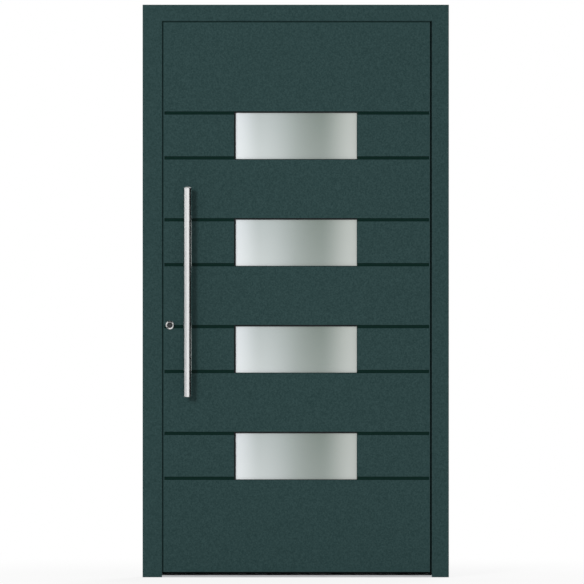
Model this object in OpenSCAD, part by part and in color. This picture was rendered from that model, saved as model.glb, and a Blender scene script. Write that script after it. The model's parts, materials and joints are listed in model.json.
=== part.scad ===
// Aluminium front door with its frame: an insulated leaf that opens inward, a multipoint lock and a pull bar.
// Seen from outside, X runs to the right, Y runs inward and Z runs up. Lengths are in millimetres.
// The origin lies at the middle of the frame's width and depth, at floor level.

/* [Frame] */
// Overall width of the frame
frame_w = 1150; // [1050:1:1350]
// Overall height of the frame
frame_h = 2150; // [2050:1:2450]
// Depth of the frame from outside to inside
frame_d = 80; // [76:1:96]
// Visible width of the upright on the lock side
lock_face = 73; // [66:1:100]
// Visible width of the upright on the hinge side
hinge_face = 64; // [62:1:100]
// Visible width of the head
head_face = 61; // [58:1:100]
// Wall of the aluminium profiles
profile_wall = 2; // [1.6:0.1:2.6]
// Depth of the frame's outer shell
frame_outer_d = 24; // [20:0.5:28]
// Depth of the frame's inner shell
frame_inner_d = 36; // [34:0.5:40]
// Step from the outer shell's edge back to the rebate wall
rebate_step = 27; // [25:0.5:30]
// Width of the lip on the inside of the rebate
lip_w = 6; // [4:0.5:8]
// Thickness of that lip
lip_t = 6; // [3:0.5:8]
// Thickness of a thermal break bar
break_t = 2.5; // [2:0.1:4]
// Distance from a shell's edge to a thermal break bar
break_inset = 6; // [4:0.5:9]
// Height of the threshold
threshold_h = 13.5; // [11:0.5:17]
// Width of the thermal core in the threshold
threshold_core_d = 16; // [12:1:20]
// Slope on the threshold's edges, along Y
threshold_slope = 10; // [6:1:14]
// Drop of the threshold's edges
threshold_drop = 6; // [4:0.5:8]
// Length of a corner cleat's leg past the corner
cleat_leg = 60; // [40:1:90]

/* [Leaf] */
// Height of the leaf's lower edge above the floor
leaf_floor = 20; // [19:0.5:24]
// Overlap of the leaf behind the frame's outer shell
leaf_lap = 15; // [13:0.5:17]
// Gap between the frame's outer shell and the leaf, filled by the stop gasket
stop_gap = 6; // [4:0.5:8]
// Width of the leaf's profiles
leaf_profile_w = 85; // [84:1:100]
// Depth of the leaf's outer shell
leaf_outer_d = 18; // [15:0.5:20]
// Depth of the thermal break in the leaf, where the lock lies
leaf_break_d = 16; // [15.5:0.5:18]
// Distance of the edge bar of the thermal break from the leaf's edge
leaf_bar_inset = 14; // [12:0.5:18]
// Shadow gap beside the cover sheet on the lock side
lock_reveal = 6; // [5:0.5:9]
// Shadow gap beside the cover sheet on the hinge side
hinge_reveal = 7; // [5:0.5:9]
// Shadow gap above the cover sheet
head_reveal = 6; // [5:0.5:9]
// Thickness of the cover sheet
sheet_t = 3; // [2:0.1:3.5]
// Width of a groove formed in the cover sheet
groove_w = 12.4; // [8:0.2:16]
// Depth of a groove
groove_d = 5; // [3:0.5:6]
// Thickness of the inner sheet
inner_sheet_t = 2; // [1.5:0.1:3]
// Distance from the leaf's inside face back to the inner sheet
panel_recess = 16; // [14:0.5:18]
// Width of the bead round the inner sheet
bead_w = 18; // [14:0.5:22]
// Height of the bead
bead_d = 13; // [10:0.5:15]
// Wall of the bead
bead_wall = 1.6; // [1.2:0.1:2]

/* [Windows] */
// Width of a window opening in the cover sheet
window_w = 462; // [380:1:520]
// Height of a window opening
window_h = 181; // [150:1:220]
// Distance from the sheet's lock side edge to the windows
window_left = 264.5; // [240:0.5:300]
// Height of the lowest window above the leaf's lower edge
window_low = 345.5; // [300:0.5:380]
// Distance from the highest window up to the cover sheet's upper edge
window_high = 333.5; // [300:0.5:380]
// Distance that the panes reach past the opening
pane_cover = 15; // [12:0.5:18]
// Thickness of the outer satin pane
outer_pane_t = 6; // [4:0.5:8]
// Thickness of the middle pane
middle_pane_t = 4; // [3:0.5:5]
// Thickness of the inner pane
inner_pane_t = 6; // [4:0.5:7]
// Cavity between two panes
pane_gap = 14; // [12:0.5:15]
// Width of a spacer between the panes
spacer_w = 7; // [5:0.5:9]
// Gasket showing at a window's lock side
rim_left = 6; // [2:0.5:9]
// Gasket showing at a window's top
rim_top = 5.5; // [2:0.5:9]
// Gasket showing at a window's hinge side
rim_right = 1.2; // [1:0.1:6]
// Gasket showing at a window's bottom
rim_bottom = 2; // [1:0.1:6]
// Width of the flange of the trim frame round a window on the inside
trim_flange = 18; // [12:1:24]
// Wall of the trim frame
trim_wall = 2; // [1.5:0.1:3]

/* [Pull bar] */
// Diameter of the bar
bar_d = 32; // [25:1:40]
// Wall of the bar's tube
bar_wall = 2; // [1.5:0.1:3]
// Length of the bar with its end caps
bar_len = 788; // [600:1:1000]
// Height of the bar's lower end above the leaf's lower edge
bar_low = 658; // [560:1:720]
// Distance of the bar's axis from the leaf's lock side edge
bar_inset = 112.5; // [108:0.5:130]
// Distance of the bar's axis in front of the cover sheet
bar_standoff = 55; // [48:1:70]
// Thickness of an end cap outside the tube
cap_t = 5; // [3:0.5:8]
// Diameter of a post
post_d = 22; // [18:1:26]
// Distance of a post's axis from the bar's end
post_inset = 60; // [40:1:140]
// Diameter of the bolt through a post
post_bolt_d = 8; // [6:1:10]

/* [Lock] */
// Distance of the cylinder and the lever from the leaf's edge
backset = 44.5; // [42:0.5:46]
// Height of the cylinder above the leaf's lower edge
cylinder_rise = 927; // [860:1:980]
// Height of the lever above the cylinder
lever_rise = 92; // [90:1:96]
// Height of the latch bolt's middle above the lever
latch_rise = 31; // [30:0.5:33]
// Height of the dead bolt's middle above the cylinder
dead_bolt_rise = 38; // [37:0.5:41]
// Distance of the upper bolt from the leaf's upper edge
upper_bolt_end = 404; // [360:1:500]
// Distance of the lower bolt from the leaf's lower edge
lower_bolt_end = 310; // [260:1:370]
// Thickness of the bolts
bolt_t = 10; // [8:0.5:10.5]
// Height of the sliding bolts
bolt_h = 36; // [28:1:40]
// Travel of the sliding bolts
bolt_throw = 20; // [16:0.5:21]
// Reach of the latch bolt past the leaf's edge
latch_reach = 19; // [17:0.5:20]
// Height of the latch bolt's nose
latch_h = 30; // [26:1:32]
// Thickness of the latch bolt
latch_t = 9; // [8:0.5:10]
// Thickness of the faceplate
faceplate_t = 3; // [2:0.5:3.5]
// Wall of the lock case
case_wall = 1.5; // [1:0.1:1.8]
// Depth of the lock case behind the faceplate
case_d = 72.5; // [72:0.5:74]
// Depth of a bolt case behind the faceplate
bolt_case_d = 48; // [44:1:60]
// Height of a bolt case
bolt_case_h = 120; // [110:1:150]
// Thickness of a drive rod
rod_t = 4; // [3:0.5:5]
// Width of a drive rod
rod_w = 10; // [8:0.5:11]
// Travel of the drive rods
rod_travel = 18; // [14:0.5:20]
// Thickness of the strike plates
strike_t = 3; // [2:0.5:3.5]
// Width of the strike plates
strike_w = 23; // [20:0.5:24]
// Diameter of the collar round the cylinder
collar_d = 32; // [28:0.5:40]
// Height of the collar
collar_t = 8; // [5:0.5:12]
// Width of the square spindle
spindle_w = 8; // [7:0.5:9]
// Width of the plate behind the lever
escutcheon_w = 32; // [30:1:40]
// Thickness of that plate
escutcheon_t = 9; // [6:0.5:12]
// Diameter of the lever
lever_d = 19; // [16:0.5:22]
// Length of the lever from its axis
lever_len = 128; // [110:1:145]
// Distance from the plate to the lever's middle
lever_standoff = 46; // [40:1:60]

/* [Hinges] */
// Height of a hinge
hinge_h = 150; // [120:1:180]
// Diameter of a hinge's barrel
barrel_d = 20; // [18:0.5:22]
// Diameter of a hinge's pin
pin_d = 10; // [8:0.5:12]
// Distance of the hinge axis from the inside face
hinge_out = 12; // [11:0.5:15]
// Width of a hinge's wing
wing_w = 36; // [30:1:37]
// Thickness of a hinge's wing
wing_t = 6; // [5:0.5:8]
// Distance of the end hinges from the leaf's ends to their middle
hinge_end = 210; // [180:1:260]
// Distance from the top hinge to the middle one
hinge_pair = 420; // [300:1:820]

/* [Fixings] */
// Diameter of a fixing hole through the frame
fixing_d = 10; // [7:0.5:11]
// Distance of the outer fixings from the frame's ends
fixing_end = 150; // [120:1:200]
// Distance between the inner fixings
fixing_span = 640; // [560:1:700]

/* [Hidden] */
$fn = 64;

// Colours of the finishes
paint = "#2f4444";
mill = "#b9bdc0";
steel = "#c4c6c8";
bright = "#d8dadc";
zinc = "#a9adb0";
black = "#15181a";
polyamide = "#232528";
foam = "#d9c98f";
satin_glass = "#cdd6d2";
clear_glass = "#dfe9e6";

// Clearances: seated, sliding, turning, and the overrun of a cut
seat = 0.2;
slide = 0.3;
turn = 0.05;
cut = 1;

// Planes of the frame
x_l = -frame_w / 2;
x_r = frame_w / 2;
y_out = -frame_d / 2;
y_in = frame_d / 2;
frame_break = [y_out + frame_outer_d, y_in - frame_inner_d];
face_l = x_l + lock_face;
face_r = x_r - hinge_face;
face_top = frame_h - head_face;
rebate_l = face_l - rebate_step;
rebate_r = face_r + rebate_step;
rebate_top = face_top + rebate_step;

// Flared feet of the thermal bars, and the pockets and bosses that hold them
foot_d = 2.5;
foot_flare = 1.5;
pocket_wall = 1.8;
boss_d = 5;

// Stop gasket: its place behind the edge of the outer shell, root, base and bulb
gasket_mid = 7.5;
gasket_base = 1.2;
gasket_base_w = 9;
gasket_wall = 1;
root_neck = 2.8;
root_lip = 1.2;
root_w = 5.6;
root_d = 3;
gasket_lap = 0.3;
bulb_r = (stop_gap - slide - gasket_base) / 2 + gasket_lap;

// Wall of a corner cleat
cleat_wall = 6;

// Distance of the seal under the leaf from the leaf's edges, and its width
seal_inset = 3;
seal_w = 16;

// Planes of the leaf
leaf_x = [face_l - leaf_lap, face_r + leaf_lap];
leaf_z = [leaf_floor, face_top + leaf_lap];
leaf_y = frame_break[0] + stop_gap;
leaf_break = [leaf_y + leaf_outer_d, leaf_y + leaf_outer_d + leaf_break_d];
leaf_bar_rest = 4;
leaf_bars = [leaf_bar_inset + break_t / 2, leaf_profile_w - leaf_bar_rest - break_t / 2];
open_x = [leaf_x[0] + leaf_profile_w, leaf_x[1] - leaf_profile_w];
open_z = [leaf_z[0] + leaf_profile_w, leaf_z[1] - leaf_profile_w];
stile_reach = leaf_profile_w + cut;
cover_x = [face_l + lock_reveal, face_r - hinge_reveal];
cover_z = [leaf_floor, face_top - head_reveal];
inner_face = y_in - panel_recess;
inner_back = inner_face - inner_sheet_t;

// Windows and the grooves that line up with their edges
window_x = [cover_x[0] + window_left, cover_x[0] + window_left + window_w];
window_ends = [cover_z[0] + window_low, cover_z[1] - window_high - window_h];
window_pitch = (window_ends[1] - window_ends[0]) / 3;
window_z = [for (i = [0:3]) window_ends[0] + i * window_pitch];
groove_z = [for (z = window_z) each [z, z + window_h - groove_w]];
groove_back = y_out + groove_d + sheet_t;
outer_pane_y = groove_back + slide;
middle_pane_y = outer_pane_y + outer_pane_t + pane_gap;
inner_pane_y = middle_pane_y + middle_pane_t + pane_gap;
inner_pane_back = inner_pane_y + inner_pane_t;
trim_gasket_t = 2;
trim_gasket_w = 6;

// Lock
lock_x = leaf_x[0] + backset;
lock_y = (leaf_break[0] + leaf_break[1]) / 2;
cylinder_z = leaf_floor + cylinder_rise;
lever_z = cylinder_z + lever_rise;
latch_z = lever_z + latch_rise;
dead_bolt_z = cylinder_z + dead_bolt_rise;
upper_bolt_z = leaf_z[1] - upper_bolt_end;
lower_bolt_z = leaf_z[0] + lower_bolt_end;
faceplate_y = [leaf_break[0] + seat, leaf_break[1] - seat];
faceplate_back = leaf_x[0] + faceplate_t;
faceplate_end = 20;
case_gap = 1;
case_y = [leaf_break[0] + case_gap, leaf_break[1] - case_gap];
case_below = 42;
case_above = 40;
case_z = [cylinder_z - case_below, latch_z + case_above];
rod_x = [faceplate_back + slide, faceplate_back + slide + rod_t];
rod_lap = 15;
bolt_guide = 19;
bolt_len = bolt_throw + faceplate_t + bolt_guide;

// Profile cylinder: round part, flat tail, plug and cam
barrel_r = 8.5;
nose_r = 8;
tail_w = 10;
tail_drop = 24.5;
plug_r = 6.5;
cam_r = 14.8;
cam_t = 9;
nose_out = 3;
cylinder_nose = y_out - nose_out;
cylinder_front = groove_back + slide;
tail_out = 2;
cylinder_end = y_in + escutcheon_t + tail_out;
collar_hole_r = 9.2;
key_slot = [1.6, 8, 12];

// Lever, follower and latch tail
follower_r = 12;
follower_hub_r = 8;
arm_half = 3;
arm_reach = 32.5;
latch_play = 2;
lug_t = 4;
tail_rise = 3.5;
tail_z = [lever_z + arm_reach + tail_rise, latch_z + latch_h / 2];
latch_blunt = 2;
latch_shoulder = 4;
latch_root = 9;
neck_r = lever_d / 2 + 0.5;
spindle_bite = 14;
bend_r = 16;

// Day latch keeper in the strike
keeper_arm = 15.5;
keeper_half = 2.8;
keeper_pin_r = 2.5;
keeper_angle = 82;
keeper_tip_lap = 5;
keeper_gap = 0.7;
keeper_room = 0.6;
keeper_notch = 2;
keeper_y = lock_y + latch_t / 2 + keeper_gap + keeper_half;
keeper_x = leaf_x[0] - latch_reach + keeper_tip_lap - keeper_arm;
keeper_z = [latch_z - latch_h / 2 - 2, latch_z + latch_h / 2 + 2];
ear_t = 4;
ear_half = 5;
strike_end = 40;

// Hinges
hinge_x = leaf_x[1] + (leaf_lap_gap() / 2);
hinge_y = y_in + hinge_out;
knuckle_gap = 0.5;
knuckle_room = 0.6;
knuckle_h = (hinge_h - 2 * knuckle_gap) / 3;
hinge_tops = [leaf_z[1] - hinge_end, leaf_z[1] - hinge_end - hinge_pair, leaf_z[0] + hinge_end];

// Pull bar
bar_x = leaf_x[0] + bar_inset;
bar_y = y_out - bar_standoff;
bar_z = [leaf_floor + bar_low, leaf_floor + bar_low + bar_len];
post_z = [bar_z[0] + post_inset, bar_z[1] - post_inset];
anchor_r = 13;
anchor_t = 4;
anchor_y = [groove_back + slide, groove_back + slide + anchor_t];
bolt_bite = 18;

// Gap on the inside between the leaf's edge and the frame's lip
function leaf_lap_gap() = rebate_step - leaf_lap - lip_w;

// Corners of one groove's section, a distance d behind the sheet's front
function groove_corners(z, d) = [
  [y_out + d, z - d],
  [y_out + groove_d + d, z - d],
  [y_out + groove_d + d, z + groove_w + d],
  [y_out + d, z + groove_w + d]
];

// Line of the cover sheet's front from bottom to top, a distance d behind it
function front_line(d) = [for (z = groove_z) each groove_corners(z, d)];

function reversed(list) = [for (i = [len(list) - 1:-1:0]) list[i]];

// A box between two values on each axis
module block(x, y, z) {
  translate([x[0], y[0], z[0]])
    cube([x[1] - x[0], y[1] - y[0], z[1] - z[0]]);
}

// A section drawn in Y and Z, run along X
module run_x(x) {
  translate([x[0], 0, 0])
    rotate([90, 0, 90])
      linear_extrude(x[1] - x[0])
        children();
}

// A section drawn in X and Z, run along Y
module run_y(y) {
  translate([0, y[1], 0])
    rotate([90, 0, 0])
      linear_extrude(y[1] - y[0])
        children();
}

// A section drawn in X and Y, run along Z
module run_z(z) {
  translate([0, 0, z[0]])
    linear_extrude(z[1] - z[0])
      children();
}

// A round bar along Y through a point of the X and Z plane
module rod_y(x, z, r, y) {
  translate([x, y[1], z])
    rotate([90, 0, 0])
      cylinder(r = r, h = y[1] - y[0]);
}

// A flat ring with a rectangular opening, standing in the X and Z plane
module window_ring(outer, inner, y) {
  difference() {
    block(outer[0], y, outer[1]);
    block(inner[0], [y[0] - cut, y[1] + cut], inner[1]);
  }
}

// One window's opening, larger by a margin
function window_box(z, m) = [[window_x[0] - m, window_x[1] + m], [z - m, z + window_h + m]];

// A rectangle between two values on each axis
module rect(w, y) {
  translate([w[0], y[0]])
    square([w[1] - w[0], y[1] - y[0]]);
}

// Foot of a thermal bar, flared so that the shell can grip it; with a gap it is the pocket for that foot
module bar_foot(w, y, into, gap) {
  neck = break_t / 2 + gap;
  flare = neck + foot_flare;
  deep = y + into * (foot_d + gap);
  polygon([[w - neck, y - into * cut], [w + neck, y - into * cut], [w + neck, y], [w + flare, deep],
    [w - flare, deep], [w - neck, y]]);
}

// A thermal bar's section between the two shells
module bar_section(w, y) {
  rect([w - break_t / 2, w + break_t / 2], y);
  bar_foot(w, y[0], -1, 0);
  bar_foot(w, y[1], 1, 0);
}

// Hollow of a shell, less the bosses round the pockets; the thermal bars lie beyond the face at face_y
module shell_hollow(w, y, bars, face_y, into) {
  t = profile_wall;
  half = break_t / 2 + foot_flare + pocket_wall;
  far = face_y + into * boss_d;
  difference() {
    rect([w[0] + t, w[1] - t], [y[0] + t, y[1] - t]);
    for (b = bars)
      rect([b - half, b + half], [min(face_y, far), max(face_y, far)]);
    children();
  }
}

// Root of the stop gasket, held in a slot of the frame's outer shell
module gasket_root(w, gap) {
  y = frame_break[0];
  neck = root_neck / 2 + gap;
  wide = root_w / 2 + gap;
  deep = y - root_d - gap;
  polygon([[w - neck, y + cut], [w - neck, y - root_lip], [w - wide, y - root_lip], [w - wide, deep],
    [w + wide, deep], [w + wide, y - root_lip], [w + neck, y - root_lip], [w + neck, y + cut]]);
}

// Sections of the frame's shells: w runs from the frame's outer edge towards the doorway
function frame_bars(face) = [break_inset + break_t / 2, face - rebate_step - break_inset - break_t / 2];

module outer_hollow(face) {
  slot = face - gasket_mid;
  half = root_w / 2 + pocket_wall;
  shell_hollow([0, face], [y_out, frame_break[0]], frame_bars(face), frame_break[0], -1)
    rect([slot - half, slot + half], [frame_break[0] - boss_d, frame_break[0]]);
}

module outer_pockets(face) {
  for (b = frame_bars(face))
    bar_foot(b, frame_break[0], -1, seat);
  gasket_root(face - gasket_mid, seat);
}

module inner_outline(face) {
  w = face - rebate_step;
  rect([0, w], [frame_break[1], y_in]);
  rect([w - profile_wall, w + lip_w], [y_in - lip_t, y_in]);
}

module inner_hollow(face) {
  shell_hollow([0, face - rebate_step], [frame_break[1], y_in], frame_bars(face), frame_break[1], 1);
}

module inner_pockets(face) {
  for (b = frame_bars(face))
    bar_foot(b, frame_break[1], 1, seat);
}

// The two shells of an upright, closed at the top
module jamb_shells(face) {
  whole = [0, frame_h];
  hollow = [-cut, frame_h - profile_wall];
  through = [-cut, frame_h + cut];
  difference() {
    run_z(whole) rect([0, face], [y_out, frame_break[0]]);
    run_z(hollow) outer_hollow(face);
    run_z(through) outer_pockets(face);
  }
  difference() {
    run_z(whole) inner_outline(face);
    run_z(hollow) inner_hollow(face);
    run_z(through) inner_pockets(face);
    fixing_holes(face - rebate_step);
  }
}

module fixing_holes(inner_w) {
  middle = frame_h / 2;
  places = [fixing_end, middle - fixing_span / 2, middle + fixing_span / 2, frame_h - fixing_end];
  for (z = places)
    translate([-cut, (frame_break[1] + y_in) / 2, z])
      rotate([0, 90, 0])
        cylinder(d = fixing_d, h = inner_w + lip_w + 2 * cut);
}

module jamb_breaks(face) {
  run_z([0, frame_h - profile_wall])
    for (b = frame_bars(face))
      bar_section(b, frame_break);
}

// A frame section run along the head, with w from the top edge down
module along_head() {
  run_x([x_l, x_r])
    translate([0, frame_h])
      rotate(-90)
        children();
}

module on_lock_side() {
  translate([x_l, 0, 0])
    children();
}

module on_hinge_side() {
  translate([x_r, 0, 0])
    mirror([1, 0, 0])
      children();
}

// Space of the head, bounded by the mitres at its two corners, wider by a gap
module head_zone(gap = 0) {
  reach = max(lock_face, hinge_face, head_face) + cut;
  x = [face_l - gap, face_r + gap];
  run_y([y_out - cut, y_in + cut])
    polygon([[x[0], face_top], [x[1], face_top], [x[1] + reach, face_top + reach],
      [x[0] - reach, face_top + reach]]);
}

// Main cut in the lock side rebate: slots for the sliding bolts and the latch keeper's notch
module strike_cuts() {
  for (z = [dead_bolt_z, upper_bolt_z, lower_bolt_z])
    bolt_slot([rebate_l - profile_wall - cut, rebate_l + cut], z);
  block([keeper_x - keeper_half - keeper_notch, rebate_l + lip_w + cut],
    [lock_y - latch_t / 2 - 2, y_in + cut], [keeper_z[0] - ear_t - 1, keeper_z[1] + ear_t + 1]);
}

// A slot that a sliding bolt passes through
module bolt_slot(x, z) {
  room = 2 * slide;
  block(x, [lock_y - bolt_t / 2 - room, lock_y + bolt_t / 2 + room],
    [z - bolt_h / 2 - room, z + bolt_h / 2 + room]);
}

module frame_jamb_lock() {
  color(paint)
    difference() {
      on_lock_side() jamb_shells(lock_face);
      head_zone();
      strike_cuts();
    }
}

module frame_jamb_hinge() {
  color(paint)
    difference() {
      on_hinge_side() jamb_shells(hinge_face);
      head_zone();
    }
}

module frame_head() {
  color(paint)
    intersection() {
      head_zone();
      union() {
        along_head()
          difference() {
            rect([0, head_face], [y_out, frame_break[0]]);
            outer_hollow(head_face);
            outer_pockets(head_face);
          }
        along_head()
          difference() {
            inner_outline(head_face);
            inner_hollow(head_face);
            inner_pockets(head_face);
          }
      }
    }
}

module frame_thermal_bars() {
  color(polyamide) {
    difference() {
      union() {
        on_lock_side() jamb_breaks(lock_face);
        on_hinge_side() jamb_breaks(hinge_face);
      }
      head_zone(seat);
    }
    intersection() {
      head_zone();
      along_head()
        for (b = frame_bars(head_face))
          bar_section(b, frame_break);
    }
  }
}

// Room for the window in one arm of a cleat
function arm_room(leg, span) = leg < span[0] ? [leg + cleat_wall, span[0]] : [span[1], leg - cleat_wall];

// A cleat pressed into the chambers of two profiles that meet at a corner, with a window in each arm
module corner_cleat(jamb_x, head_z, y, leg_x, leg_z) {
  across = [y[0] + seat, y[1] - seat];
  through = [y[0] - cut, y[1] + cut];
  difference() {
    union() {
      block([jamb_x[0] + seat, jamb_x[1] - seat], across,
        [min(leg_z, head_z[0]) + seat, max(leg_z, head_z[1]) - seat]);
      block([min(leg_x, jamb_x[0]) + seat, max(leg_x, jamb_x[1]) - seat], across,
        [head_z[0] + seat, head_z[1] - seat]);
    }
    block([jamb_x[0] + cleat_wall, jamb_x[1] - cleat_wall], through, arm_room(leg_z, head_z));
    block(arm_room(leg_x, jamb_x), through, [head_z[0] + cleat_wall, head_z[1] - cleat_wall]);
  }
}

module frame_corner_cleats() {
  w = profile_wall;
  outer_y = [y_out + w, frame_break[0] - boss_d];
  inner_y = [frame_break[1] + boss_d, y_in - w];
  outer_z = [face_top + w, frame_h - w];
  inner_z = [rebate_top + w, frame_h - w];
  color(mill) {
    corner_cleat([x_l + w, face_l - w], outer_z, outer_y, face_l + cleat_leg, face_top - cleat_leg);
    corner_cleat([x_l + w, rebate_l - w], inner_z, inner_y, rebate_l + cleat_leg, rebate_top - cleat_leg);
    corner_cleat([face_r + w, x_r - w], outer_z, outer_y, face_r - cleat_leg, face_top - cleat_leg);
    corner_cleat([rebate_r + w, x_r - w], inner_z, inner_y, rebate_r - cleat_leg, rebate_top - cleat_leg);
  }
}

// Stop gasket: a root, a flat base and a hollow bulb that the leaf presses
module gasket_section(w) {
  bulb = [w, leaf_y - slide - bulb_r];
  gasket_root(w, 0);
  rect([w - gasket_base_w / 2, w + gasket_base_w / 2], [frame_break[0], frame_break[0] + gasket_base]);
  difference() {
    translate(bulb)
      circle(r = bulb_r);
    translate(bulb)
      circle(r = bulb_r - gasket_wall);
  }
}

module frame_gasket() {
  sides = [threshold_h + slide, frame_h];
  color(black) {
    difference() {
      union() {
        on_lock_side() run_z(sides) gasket_section(lock_face - gasket_mid);
        on_hinge_side() run_z(sides) gasket_section(hinge_face - gasket_mid);
      }
      head_zone(seat);
    }
    intersection() {
      head_zone();
      along_head() gasket_section(head_face - gasket_mid);
    }
  }
}

// One rail of the threshold; the edge away from the core slopes down
module threshold_rail(edge, core, x) {
  side = sign(core - edge);
  w = profile_wall;
  low = threshold_h - threshold_drop;
  run_x(x)
    difference() {
      polygon([[edge, 0], [edge, low], [edge + side * threshold_slope, threshold_h], [core, threshold_h],
        [core, 0]]);
      polygon([[edge + side * threshold_slope, w], [edge + side * threshold_slope, threshold_h - w],
        [core - side * w, threshold_h - w], [core - side * w, w]]);
    }
}

module threshold() {
  color(mill) {
    threshold_rail(y_out, -threshold_core_d / 2, [face_l, face_r]);
    threshold_rail(y_in, threshold_core_d / 2, [rebate_l + lip_w, rebate_r - lip_w]);
  }
}

module threshold_core() {
  color(polyamide)
    block([face_l, face_r], [-threshold_core_d / 2, threshold_core_d / 2], [0, threshold_h]);
}

// A strike plate on the rebate wall
module strike_plate(z) {
  block([rebate_l, rebate_l + strike_t], [lock_y - strike_w / 2, lock_y + strike_w / 2], z);
}

module strike_main() {
  ear_y = [keeper_y - ear_half, keeper_y + ear_half];
  notch_y = [lock_y - latch_t / 2 - 1.5, lock_y + strike_w];
  color(steel)
    difference() {
      union() {
        strike_plate([dead_bolt_z - bolt_h / 2 - strike_end, keeper_z[1] + ear_t + strike_end]);
        for (z = [keeper_z[0] - ear_t, keeper_z[1]])
          block([keeper_x - ear_half, rebate_l + strike_t], ear_y, [z, z + ear_t]);
      }
      bolt_slot([rebate_l - cut, rebate_l + strike_t + cut], dead_bolt_z);
      block([rebate_l - cut, rebate_l + strike_t + cut], notch_y, keeper_z);
      translate([keeper_x, keeper_y, keeper_z[0] - ear_t - cut])
        cylinder(r = keeper_pin_r + turn, h = keeper_z[1] - keeper_z[0] + 2 * ear_t + 2 * cut);
    }
}

module bolt_strikes() {
  half = bolt_h / 2 + strike_end;
  color(steel)
    for (z = [upper_bolt_z, lower_bolt_z])
      difference() {
        strike_plate([z - half, z + half]);
        bolt_slot([rebate_l - cut, rebate_l + strike_t + cut], z);
      }
}

// Day latch keeper, shown swung clear of the latch
module latch_keeper() {
  arm_z = [keeper_z[0] + slide, keeper_z[1] - slide];
  color(zinc)
    translate([keeper_x, keeper_y, 0])
      rotate([0, 0, keeper_angle]) {
        run_z(arm_z)
          union() {
            circle(r = keeper_half + keeper_room);
            translate([0, -keeper_half])
              square([keeper_arm - keeper_half, 2 * keeper_half]);
            translate([keeper_arm - keeper_half, 0])
              circle(r = keeper_half);
          }
        run_z([keeper_z[0] - ear_t, keeper_z[1] + ear_t])
          circle(r = keeper_pin_r);
      }
}

// Hinges: the wing on the frame carries the end knuckles, the wing on the leaf the middle one
module wing(x, z) {
  corner = 6;
  run_y([y_in, y_in + wing_t])
    union() {
      translate([x[0], z[0] + corner])
        square([x[1] - x[0], z[1] - z[0] - 2 * corner]);
      translate([x[0] + corner, z[0]])
        square([x[1] - x[0] - 2 * corner, z[1] - z[0]]);
      for (u = [x[0] + corner, x[1] - corner], v = [z[0] + corner, z[1] - corner])
        translate([u, v])
          circle(r = corner);
    }
}

module knuckle(z) {
  translate([hinge_x, hinge_y, z])
    cylinder(d = barrel_d, h = knuckle_h);
}

// A block that ties a knuckle to its wing
module knuckle_root(side, z) {
  far = hinge_x + side * (barrel_d / 2 + 4);
  block([min(hinge_x, far), max(hinge_x, far)], [y_in, hinge_y], [z, z + knuckle_h]);
}

module knuckle_room(z) {
  translate([hinge_x, hinge_y, z - knuckle_gap])
    cylinder(r = barrel_d / 2 + knuckle_room, h = knuckle_h + 2 * knuckle_gap);
}

module pin_hole(z) {
  translate([hinge_x, hinge_y, z - hinge_h])
    cylinder(r = pin_d / 2 + turn, h = 2 * hinge_h);
}

module hinge_frame(z) {
  low = z - hinge_h / 2;
  step = knuckle_h + knuckle_gap;
  inner = hinge_x + leaf_lap_gap() / 2 + seat;
  color(bright)
    difference() {
      union() {
        wing([inner, inner + wing_w], [low, low + hinge_h]);
        for (k = [0, 2]) {
          knuckle(low + k * step);
          intersection() {
            knuckle_root(1, low + k * step);
            block([inner, x_r], [y_in, hinge_y], [low, low + hinge_h]);
          }
        }
      }
      knuckle_room(low + step);
      pin_hole(z);
    }
}

module hinge_leaf(z) {
  low = z - hinge_h / 2;
  step = knuckle_h + knuckle_gap;
  outer = leaf_x[1] - seat;
  color(bright)
    difference() {
      union() {
        wing([outer - wing_w, outer], [low, low + hinge_h]);
        knuckle(low + step);
        intersection() {
          knuckle_root(-1, low + step);
          block([leaf_x[0], outer], [y_in, hinge_y], [low, low + hinge_h]);
        }
      }
      knuckle_room(low);
      knuckle_room(low + 2 * step);
      pin_hole(z);
    }
}

module hinge_frame_top() hinge_frame(hinge_tops[0]);
module hinge_frame_middle() hinge_frame(hinge_tops[1]);
module hinge_frame_bottom() hinge_frame(hinge_tops[2]);
module hinge_leaf_top() hinge_leaf(hinge_tops[0]);
module hinge_leaf_middle() hinge_leaf(hinge_tops[1]);
module hinge_leaf_bottom() hinge_leaf(hinge_tops[2]);

// Pins with a domed head that stands above the barrel
module hinge_pins() {
  head_h = 3;
  bevel = 1;
  color(steel)
    for (z = hinge_tops)
      translate([hinge_x, hinge_y, z - hinge_h / 2])
        rotate_extrude()
          polygon([[0, 0], [pin_d / 2, 0], [pin_d / 2, hinge_h], [barrel_d / 2 - bevel, hinge_h],
            [barrel_d / 2 - 2 * bevel, hinge_h + head_h], [0, hinge_h + head_h]]);
}

// Spaces of the leaf's rails, bounded by the mitres, wider by a gap
module rail_zones(margin, reach, gap = 0) {
  x = [open_x[0] + margin - gap, open_x[1] - margin + gap];
  z = [open_z[0] + margin, open_z[1] - margin];
  run_y([y_out - cut, y_in + cut]) {
    polygon([[x[0], z[1]], [x[1], z[1]], [x[1] + reach, z[1] + reach], [x[0] - reach, z[1] + reach]]);
    polygon([[x[0], z[0]], [x[1], z[0]], [x[1] + reach, z[0] - reach], [x[0] - reach, z[0] - reach]]);
  }
}

// Section of the leaf's two shells: w runs from the leaf's edge towards the panel
module leaf_section() {
  span = [0, leaf_profile_w];
  outer = [leaf_y, leaf_break[0]];
  inner = [leaf_break[1], y_in];
  difference() {
    rect(span, outer);
    shell_hollow(span, outer, leaf_bars, outer[1], -1);
    for (b = leaf_bars)
      bar_foot(b, outer[1], -1, seat);
  }
  difference() {
    rect(span, inner);
    shell_hollow(span, inner, leaf_bars, inner[0], 1);
    for (b = leaf_bars)
      bar_foot(b, inner[0], 1, seat);
  }
}

// A leaf section run along each edge of the leaf
module along_lock_edge() {
  translate([leaf_x[0], 0, 0])
    run_z(leaf_z)
      children();
}

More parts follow.
